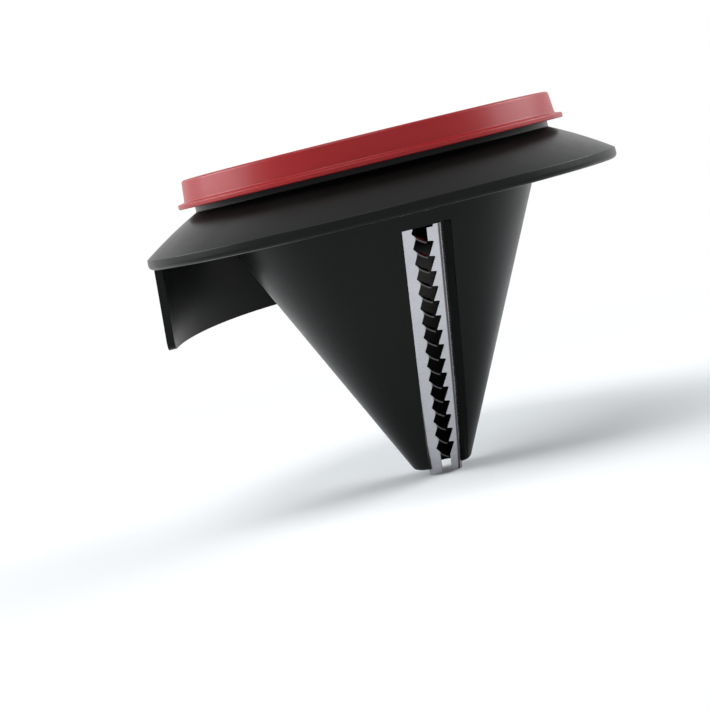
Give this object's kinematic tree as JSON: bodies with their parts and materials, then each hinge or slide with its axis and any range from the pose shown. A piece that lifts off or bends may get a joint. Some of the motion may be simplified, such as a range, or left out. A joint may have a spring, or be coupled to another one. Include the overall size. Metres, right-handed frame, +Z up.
{
  "type": "hand-held funnel spiral cutter",
  "caption": "Hand-held conical spiral cutter: plastic funnel with flared brim and grip wall, scoring and slicing blades, and a turning feed disc on top.",
  "frame": {"origin": "on the funnel's axis, at the top rim of the collar, where the turning disc seats", "axes": "+Z up along the funnel's axis, away from its narrow end; -Y towards the front, where the blades are; the grip wall is at the back left"},
  "size_m": [0.1312, 0.1311, 0.094],
  "materials": {
    "black_plastic": "satin",
    "red_plastic": "semi-gloss",
    "steel": "polished"
  },
  "bodies": {
    "funnel": {"funnel_cone": "black_plastic", "funnel_brim": "black_plastic", "grip_wall": "black_plastic", "slicing_blade": "steel", "scoring_comb": "steel", "blade_clamp": "black_plastic"},
    "disc": {"turning_disc": "red_plastic"}
  },
  "joints": [
    {"name": "disc_spin", "type": "hinge", "parent": "funnel", "child": "disc", "pos_m": [0, 0, 0], "axis": [0, 0, 1], "continuous": true}
  ]
}
